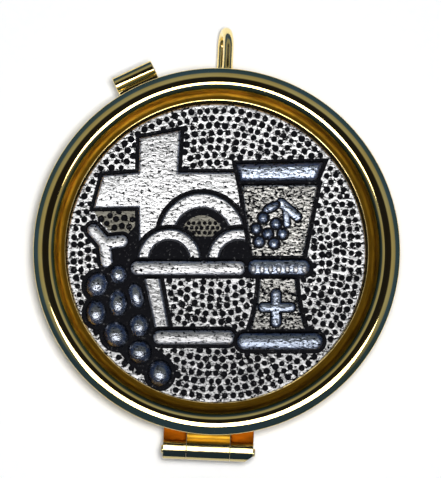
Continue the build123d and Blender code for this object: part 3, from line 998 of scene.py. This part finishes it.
SMALL_RISE, SMALL_TRENCH = 0.38, 0.2
BURY = 0.6
CUTTER_TOP = 1.6
EGG_BASE = 0.05
EGG_FACETS = {"segments": 28, "ring_count": 18}
BAR_FACETS = {"segments": 32, "ring_count": 17}
PROBE_HEIGHT = 2 * MM
DIMPLE_RING_TURN = radians(137.5)
DIMPLE_RING_STEP = 0.9
DIMPLE_STRAY = 0.1
DIMPLE_SIZES = (0.85, 1.1)
DIMPLE_ROOM = 1.1
DIMPLE_TAPER = 0.28
DIMPLE_SIDES = 11
PLACE_SEED = 7
TURN_SEED = 3
BAR_DOME = 0.22
DRAFT = 0.3


class PYX_OT_medallion(bpy.types.Operator):
    """Turn the disc, raise each emblem inside its sunk outline, and punch the dimples between them"""

    bl_idname = "pyx.medallion"
    bl_label = "Medallion"

    def execute(self, context):
        self.sizes = context.scene.pyx_medallion
        self.face = DISC_LOW.z + self.sizes.thickness
        colours = context.scene.pyx_colours
        self.net = pewter("pewter_net", colours, colours.pewter, -0.01, 0.4, 0.6)
        self.bright = pewter("pewter_bright", colours, colours.pewter, 0.02, 0.44, 0.8)
        self.bone = pewter("pewter_bone", colours, colours.bone, -0.03, 0.4, 1.3)
        self.burnished = pewter("pewter_burnished", colours, colours.steel, 0.02, 0.3, 0.8)
        self.grape = pewter("pewter_grape", colours, colours.slate, 0.03, 0.27, 0.45)
        self.black = black_patina(colours)
        self.dim = pewter("pewter_dim", colours, colours.tarnish, 0.03, 0.5, 0.4)
        self.disc = self.turn_disc()
        self.sink(DULL_GROUND, DULL_DEPTH, DULL_MARGIN, self.dim)
        self.sink(VINE_GROUND, self.sizes.trench_depth / MM, GROUND_MARGIN)
        self.raise_field(CROSS, CROSS_RISE, self.bright, CROSS_SOFT)
        self.raise_loaf(*LOAVES[0], CRUMB)
        self.sink(LOAF_GAP, LOAVES[0][-1], GROUND_MARGIN)
        self.raise_field(STAY, STAY_RISE, self.bright, STAY_SOFT)
        for loaf in LOAVES[1:]:
            self.raise_loaf(*loaf)
        self.raise_field(CUP, FIELD_RISE, self.bone, FIELD_SOFT)
        self.raise_field(self.foot_outline(), FIELD_RISE, self.bone, FIELD_SOFT)
        for bar in BARS[:2]:
            self.raise_bar(*bar, self.bright)
        self.raise_bar(*BARS[2], self.burnished)
        self.raise_field(CUP_RIM, RIM_RISE, self.burnished, RIM_SOFT)
        self.raise_knop()
        self.raise_joined(FORK, FORK_RISE, self.bright)
        for centre, half_width, half_length, lean in GRAPES:
            rise = half_width * GRAPE_STAND
            self.raise_egg(centre, half_width, half_length, lean, rise, 0, self.grape, GRAPE_TRENCH)
        self.dress_chalice()
        self.punch_dimples()
        hand_over(self.disc, None, "lid", "pewter", "medallion")
        return {"FINISHED"}

    def at(self, u, v):
        """A point of the drawing on the turned and shifted casting, in metres."""
        turn = self.sizes.turn
        across = (u * cos(turn) - v * sin(turn)) * MM + self.sizes.shift_x
        along = (u * sin(turn) + v * cos(turn)) * MM + self.sizes.shift_y
        return across, along

    def turn_disc(self):
        """The disc with its rounded upper edge."""
        edge = self.sizes.edge
        rim = (self.sizes.radius - edge, self.face - edge)
        under = [(self.sizes.radius, DISC_LOW.z), (0, DISC_LOW.z)]
        disc = lathe("medallion_casting", [(0, self.face), *arc(rim, edge, 90, 0, 6), *under])
        disc.data.materials.append(self.net)
        return settle(disc, (self.sizes.shift_x, self.sizes.shift_y, 0), (0, 0, 0))

    def dimple_places(self):
        """Middle and size of each dimple, in uneven rings along the edge, where the ground lies open."""
        draw = Random(PLACE_SEED)
        pitch = self.sizes.dimple_pitch / MM
        ring = (self.sizes.radius - self.sizes.dimple_border) / MM
        ring_number = 0
        places = []
        while ring > pitch:
            count = int(2 * pi * ring / pitch)
            for place in range(count):
                turn = DIMPLE_RING_TURN * ring_number + 2 * pi * place / count
                u = ring * cos(turn) + draw.uniform(-DIMPLE_STRAY, DIMPLE_STRAY)
                v = ring * sin(turn) + draw.uniform(-DIMPLE_STRAY, DIMPLE_STRAY)
                size = draw.uniform(*DIMPLE_SIZES)
                ground = self.open_ground(self.at(u, v), DIMPLE_ROOM * size * self.sizes.dimple)
                if ground and ground.z > self.face - self.sizes.dimple_depth / 2:
                    places.append((ground, size))
            ring -= pitch * DIMPLE_RING_STEP
            ring_number += 1
        return places + self.crumb_places(draw)

    def crumb_places(self, draw):
        """Middle and size of each small dimple in the back loaf, in staggered rows."""
        centre = LOAVES[0][0]
        rows = int(CRUMB / CRUMB_PITCH)
        places = []
        for row in range(1, rows + 1):
            for column in range(-rows, rows + 1):
                stray = draw.uniform(-CRUMB_STRAY, CRUMB_STRAY)
                u = centre[0] + (column + row % 2 / 2) * CRUMB_PITCH + stray
                v = centre[1] + (row - CRUMB_START) * CRUMB_PITCH * DIMPLE_RING_STEP
                ground = self.open_ground(self.at(u, v), CRUMB_DIMPLE * self.sizes.dimple)
                if ground:
                    places.append((ground, CRUMB_DIMPLE))
        return places

    def open_ground(self, place, reach):
        """The point of bare ground at this place, or nothing where an emblem stands within this reach."""
        for spot in [*arc(place, reach, 0, 300, 5), place]:
            found, point, _, index = self.disc.ray_cast((*spot, self.face + PROBE_HEIGHT), (0, 0, -1))
            if not found or point.z > self.face + 10 * TOUCH:
                return None
        finish = self.disc.data.materials[self.disc.data.polygons[index].material_index]
        return point if finish in (self.net, self.dim) else None

    def punch_dimples(self):
        """Cut the dimples out of the open ground."""
        bpy.context.view_layer.update()
        places = self.dimple_places()
        punch = begin(
            "punch",
            bpy.ops.mesh.primitive_cone_add,
            vertices=DIMPLE_SIDES,
            radius1=self.sizes.dimple * (1 - DIMPLE_TAPER),
            radius2=self.sizes.dimple * (1 + DIMPLE_TAPER),
            depth=2 * self.sizes.dimple_depth,
        )
        punch.data.materials.append(self.black)
        draw = Random(TURN_SEED)
        copies = []
        for ground, size in places:
            copy = bpy.data.objects.new("dimple", punch.data.copy())
            bpy.context.collection.objects.link(copy)
            copy.location = ground
            copy.rotation_euler = (0, 0, draw.uniform(0, pi))
            copy.scale = (size, size, 1)
            copies.append(copy)
        bpy.ops.object.delete()
        for copy in copies:
            copy.select_set(True)
        bpy.context.view_layer.objects.active = copies[0]
        bpy.ops.object.join()
        bpy.ops.object.transform_apply(location=True, rotation=True, scale=True)
        combine(self.disc, copies[0], "DIFFERENCE")

    def block(self, outline, low, high, finish):
        """A straight-sided solid over an outline of the drawing, between two heights over the face."""
        place = Matrix.Translation((0, 0, self.face + low * MM))
        solid = prism("block", [self.at(u, v) for u, v in outline], (high - low) * MM, place)
        solid.data.materials.append(finish)
        return solid

    def sink(self, outline, depth, width=None, finish=None):
        """Cut an outline and its surroundings down to this depth under the face."""
        grow = self.sizes.trench if width is None else width * MM
        cutter = self.block(outline, grow / MM - depth, CUTTER_TOP, finish or self.black)
        reshape(cutter, everywhere, bpy.ops.transform.shrink_fatten, value=grow, use_even_offset=True)
        combine(self.disc, cutter, "DIFFERENCE")

    def raise_field(self, outline, rise, finish, soft):
        """Raise a flat emblem in its sunk outline, with sloping sides and its edges softened this far."""
        self.sink(outline, self.sizes.trench_depth / MM)
        solid = self.block(outline, -BURY, 0, finish)
        top = self.face
        select_points(solid, lambda place: abs(place.z - top) < TOUCH)
        bpy.ops.mesh.select_mode(type="FACE")
        bpy.ops.mesh.inset(thickness=DRAFT * rise * MM, depth=rise * MM)
        bpy.ops.mesh.region_to_loop()
        bpy.ops.mesh.bevel(offset=soft * MM, segments=4, affect="EDGES")
        seal(solid)
        combine(self.disc, solid, "UNION")

    def raise_loaf(self, centre, outer, inner, rise, hollow, crumb=0):
        """Raise a loaf's crust round a sunk inside of black patina, with a duller middle of this radius;
        round that middle the black is also painted shade along the inside of the crust.
        """
        self.sink(arc(centre, outer, 0, 180, CRUST_STEPS), hollow)
        if crumb:
            self.sink(arc(centre, crumb, 0, 180, 32), hollow + CRUMB_SINK, GROUND_MARGIN, self.dim)
        combine(self.disc, self.crust(centre, outer, inner, rise), "UNION")

    def crust(self, centre, outer, inner, rise):
        """The upper half of a ring with a softened top, spun about the loaf's middle."""
        lean = DRAFT * rise
        shoulder = rise - CRUST_SOFT
        section = [
            (outer, -BURY),
            (outer, 0),
            *arc((outer - lean - CRUST_SOFT, shoulder), CRUST_SOFT, 0, 90, 5),
            *arc((inner + lean + CRUST_SOFT, shoulder), CRUST_SOFT, 90, 180, 5),
            (inner, 0),
            (inner, -BURY),
            (outer, -BURY),
        ]
        middle = (*self.at(*centre), 0)
        points = [(*self.at(centre[0] + reach, centre[1]), self.face + lift * MM) for reach, lift in section]
        solid = chain("crust", points)
        bpy.ops.mesh.remove_doubles(threshold=WELD)
        bpy.ops.mesh.spin(steps=CRUST_STEPS, angle=-pi, center=middle, axis=(0, 0, 1))
        bpy.ops.mesh.select_all(action="SELECT")
        bpy.ops.mesh.fill_holes(sides=0)
        solid.data.materials.append(self.bright)
        return seal(solid)

    def egg(self, centre, half_width, half_length, lean, top, finish):
        """A rounded solid with its long axis in the face and its top at this height over it."""
        width = half_width * MM
        solid = begin("egg", bpy.ops.mesh.primitive_uv_sphere_add, radius=1, **EGG_FACETS)
        solid.scale = (width, half_length * MM, width)
        flat = {"value": (1, 1, EGG_BASE), "center_override": (0, 0, 0)}
        reshape(solid, lambda place: place.z < -WELD, bpy.ops.transform.resize, **flat)
        height = self.face + (top - half_width) * MM
        solid.data.materials.append(finish)
        return settle(solid, (*self.at(*centre), height), (0, 0, radians(lean) + self.sizes.turn))

    def raise_egg(self, centre, half_width, half_length, lean, rise, ground, finish, trench):
        """Raise a rounded emblem inside its own sunk ring."""
        depth = self.sizes.trench_depth / MM if ground == 0 else trench
        self.sink(self.oval(centre, half_width, half_length, lean), depth - ground, trench)
        combine(self.disc, self.egg(centre, half_width, half_length, lean, rise + ground, finish), "UNION")

    def oval(self, centre, half_width, half_length, lean):
        """The outline of a rounded emblem, in the drawing."""
        turn = Matrix.Rotation(radians(lean), 2)
        ring = [Vector((half_width * a, half_length * b)) for a, b in arc((0, 0), 1, 0, 345, 23)]
        return [tuple(turn @ point + Vector(centre)) for point in ring]

    def capsule(self, start, end, width, top, finish):
        """A bar with a low domed top and round ends between two points of the drawing."""
        radius = width / 2 * MM
        here, there = Vector(self.at(*start)), Vector(self.at(*end))
        run = there - here
        solid = begin("bar", bpy.ops.mesh.primitive_uv_sphere_add, radius=radius, **BAR_FACETS)
        move = bpy.ops.transform.translate
        reshape(solid, lambda place: place.z > 0, move, value=(0, 0, run.length))
        solid.data.materials.append(finish)
        settle(solid, (0, 0, 0), (0, pi / 2, 0))
        dome = BAR_DOME * width * MM
        low = {"value": (1, 1, dome / radius), "center_override": (0, 0, 0)}
        reshape(solid, everywhere, bpy.ops.transform.resize, **low)
        shoulder = top * MM - dome
        reshape(solid, lambda place: place.z < -TOUCH, move, value=(0, 0, -shoulder - BURY * MM))
        return settle(solid, (*here, self.face + shoulder), (0, 0, atan2(run.y, run.x)))

    def raise_bar(self, start, end, width, rise, finish):
        """Raise a half-round bar inside its own sunk outline."""
        self.raise_joined([(start, end, width)], rise, finish)

    def raise_joined(self, bars, rise, finish, ground=0, trench=None):
        """Raise half-round bars that run into each other inside one sunk outline."""
        depth = self.sizes.trench_depth / MM if trench is None else trench
        for bar in bars:
            self.sink(self.stadium(*bar), depth - ground, trench)
        for bar in bars:
            combine(self.disc, self.capsule(*bar, rise + ground, finish), "UNION")

    def stadium(self, start, end, width):
        """The outline of a bar with round ends, in the drawing."""
        run = Vector(end) - Vector(start)
        heading = degrees(atan2(run.y, run.x))
        ends = arc(end, width / 2, heading - 90, heading + 90, 12)
        return ends + arc(start, width / 2, heading + 90, heading + 270, 12)

    def raise_knop(self):
        """The chalice's knop, a bar with a row of plain beads."""
        start, end, width, rise = KNOP
        self.raise_bar(start, end, width, rise, self.burnished)
        middle = (start[0] + end[0]) / 2
        for count in range(KNOP_BEADS):
            place = (middle + (count - (KNOP_BEADS - 1) / 2) * KNOP_PITCH, start[1] - KNOP_BEAD_DROP)
            bead = self.egg(place, *KNOP_BEAD, 0, rise + KNOP_BEAD_STAND, self.bright)
            combine(self.disc, bead, "UNION")

    def foot_outline(self):
        """The chalice's foot, with hollow sides."""
        centre, bottom, bottom_half, top, top_half, hollow = FOOT
        side = []
        for count in range(13):
            share = count / 12
            half = bottom_half + (top_half - bottom_half) * share - 4 * hollow * share * (1 - share)
            side.append((half, bottom + (top - bottom) * share))
        right = [(centre + half, v) for half, v in side]
        left = [(centre - half, v) for half, v in reversed(side)]
        return right + left

    def dress_chalice(self):
        """The small grapes, leaf and vine on the cup and the cross on the foot."""
        for bars in (CUP_BARS, FOOT_BARS):
            self.raise_joined(bars, SMALL_RISE, self.burnished, FIELD_RISE, SMALL_TRENCH)
        berries = [(centre, CUP_GRAPE_RADIUS, CUP_GRAPE_RADIUS, 0) for centre in CUP_GRAPES]
        for egg in [LEAF, *berries]:
            self.raise_egg(*egg, SMALL_RISE, FIELD_RISE, self.burnished, SMALL_TRENCH)


# The stage

IMAGE_HEIGHT = 478
PIXEL = 0.14714 * MM
LENS = 1000
SENSOR = 36
AIM = (0.48 * MM, 1.85 * MM)
CAMERA_ROLL = radians(2.5)
SUBJECT_HEIGHT = 14.5 * MM
FLOOR_RADIUS = 1.5
LAMP_DISTANCE = 1.2
STUDIO_BANDS = [
    (0.0, (0.022, 0.055, 0.15)),
    (0.54, (0.03, 0.07, 0.18)),
    (0.64, (0.25, 0.26, 0.22)),
    (0.86, (0.31, 0.32, 0.27)),
    (0.92, (0.012, 0.012, 0.016)),
    (1.0, (0.01, 0.01, 0.012)),
]
DUSK = (0.02, 0.045, 0.11)
DUSK_EDGES = (-0.55, -0.2)


class PYX_OT_stage(bpy.types.Operator):
    """Lay the floor, hang the soft light and set the camera over the lid"""

    bl_idname = "pyx.stage"
    bl_label = "Stage"

    def execute(self, context):
        scene = context.scene
        scene.view_settings.view_transform = "Standard"
        self.lay_floor(scene.pyx_colours)
        self.surround(scene)
        front = self.hang("front_softbox", (0, -22), (1.25, 0.47), 6.1)
        front.visible_diffuse = False
        overhead = self.hang("overhead_softbox", (1.7, 1.3), (0.13, 0.13), 265.0)
        overhead.visible_glossy = False
        self.set_camera(scene)
        return {"FINISHED"}

    def lay_floor(self, colours):
        """A wide pale sheet with a faint tooth."""
        add = bpy.ops.mesh.primitive_circle_add
        floor = begin("floor", add, vertices=96, radius=FLOOR_RADIUS, fill_type="NGON")
        finish = Finish("paper")
        tooth = finish.blend(finish.noise(900, 3), 0.3, 0.7)
        finish.set("Base Color", finish.mix(tooth, colours.floor, darker(colours.floor, 0.985)))
        finish.set("Roughness", 0.9)
        finish.set("Specular IOR Level", 0.0)
        floor.data.materials.append(finish.material)

    def surround(self, scene):
        """A dim studio: dark overhead, dusk at the horizon, and a pale band between, away from the hinge."""
        scene.world = bpy.data.worlds.new("studio")
        tree = NodeTree(scene.world)
        way = tree.add("TexCoord", {}).outputs["Generated"]
        parts = tree.add("SeparateXYZ", {0: way}).outputs
        band = tree.add("ValToRGB", {0: parts["Z"]})
        while len(band.color_ramp.elements) < len(STUDIO_BANDS):
            band.color_ramp.elements.new(1.0)
        for element, (position, tone) in zip(band.color_ramp.elements, STUDIO_BANDS):
            element.position = position
            element.color = (*tone, 1)
        low, high = DUSK_EDGES
        side = tree.add("MapRange", {"Value": parts["Y"], "From Min": low, "From Max": high})
        shaded = tree.mix(side.outputs[0], DUSK, band.outputs[0])
        background = tree.add("Background", {"Color": shaded})
        tree.add("OutputWorld", {0: background.outputs[0]})

    def hang(self, name, lean, size, radiance):
        """A soft box of this radiance, leaning towards +X and +Y from overhead by these degrees."""
        lamp = bpy.data.lights.new(name, "AREA")
        lamp.shape = "RECTANGLE"
        lamp.size, lamp.size_y = size
        lamp.energy = radiance * pi * size[0] * size[1]
        holder = bpy.data.objects.new(name, lamp)
        bpy.context.collection.objects.link(holder)
        across, along = (radians(value) for value in lean)
        way = Vector((sin(across), sin(along) * cos(across), cos(along) * cos(across)))
        holder.location = way * LAMP_DISTANCE + Vector((0, 0, SUBJECT_HEIGHT))
        holder.rotation_euler = way.to_track_quat("Z", "Y").to_euler()
        holder.visible_camera = False
        return holder

    def set_camera(self, scene):
        """A long lens over the lid, framed as the photograph is."""
        data = bpy.data.cameras.new("camera")
        data.lens = LENS
        data.sensor_width = SENSOR
        data.clip_start = 0.01
        camera = bpy.data.objects.new("camera", data)
        scene.collection.objects.link(camera)
        distance = LENS / SENSOR * IMAGE_HEIGHT * PIXEL
        camera.location = (*AIM, SUBJECT_HEIGHT + distance)
        camera.rotation_euler = (0, 0, CAMERA_ROLL)
        scene.camera = camera


class PYX_PT_panel(bpy.types.Panel):
    """Sizes, colours and steps of the pyx"""

    bl_idname = "PYX_PT_panel"
    bl_label = "Pyx"
    bl_space_type = "VIEW_3D"
    bl_region_type = "UI"
    bl_category = "Pyx"

    def draw(self, context):
        layout = self.layout
        for step in STEPS:
            layout.operator(step.bl_idname)
        for group_name in GROUPS:
            box = layout.box()
            group = getattr(context.scene, group_name)
            for name in group.bl_rna.properties.keys():
                if name not in ("rna_type", "name"):
                    box.prop(group, name)


GROUPS = {
    "pyx_case": PyxCaseSizes,
    "pyx_medallion": PyxMedallionSizes,
    "pyx_hardware": PyxHardwareSizes,
    "pyx_colours": PyxColours,
}
STEPS = [
    PYX_OT_base_cup,
    PYX_OT_base_collar,
    PYX_OT_lid_shell,
    PYX_OT_medallion,
    PYX_OT_hinge,
    PYX_OT_bail_loop,
    PYX_OT_catch,
    PYX_OT_stage,
]


def register():
    for group_name, group in GROUPS.items():
        bpy.utils.register_class(group)
        setattr(bpy.types.Scene, group_name, bpy.props.PointerProperty(type=group))
    for step in STEPS:
        bpy.utils.register_class(step)
    bpy.utils.register_class(PYX_PT_panel)


def unregister():
    bpy.utils.unregister_class(PYX_PT_panel)
    for step in reversed(STEPS):
        bpy.utils.unregister_class(step)
    for group_name, group in GROUPS.items():
        delattr(bpy.types.Scene, group_name)
        bpy.utils.unregister_class(group)


def main():
    register()
    bpy.ops.pyx.base_cup()
    bpy.ops.pyx.base_collar()
    bpy.ops.pyx.lid_shell()
    bpy.ops.pyx.medallion()
    bpy.ops.pyx.hinge()
    bpy.ops.pyx.bail_loop()
    bpy.ops.pyx.catch()
    bpy.ops.pyx.stage()


if __name__ == "__main__":
    main()
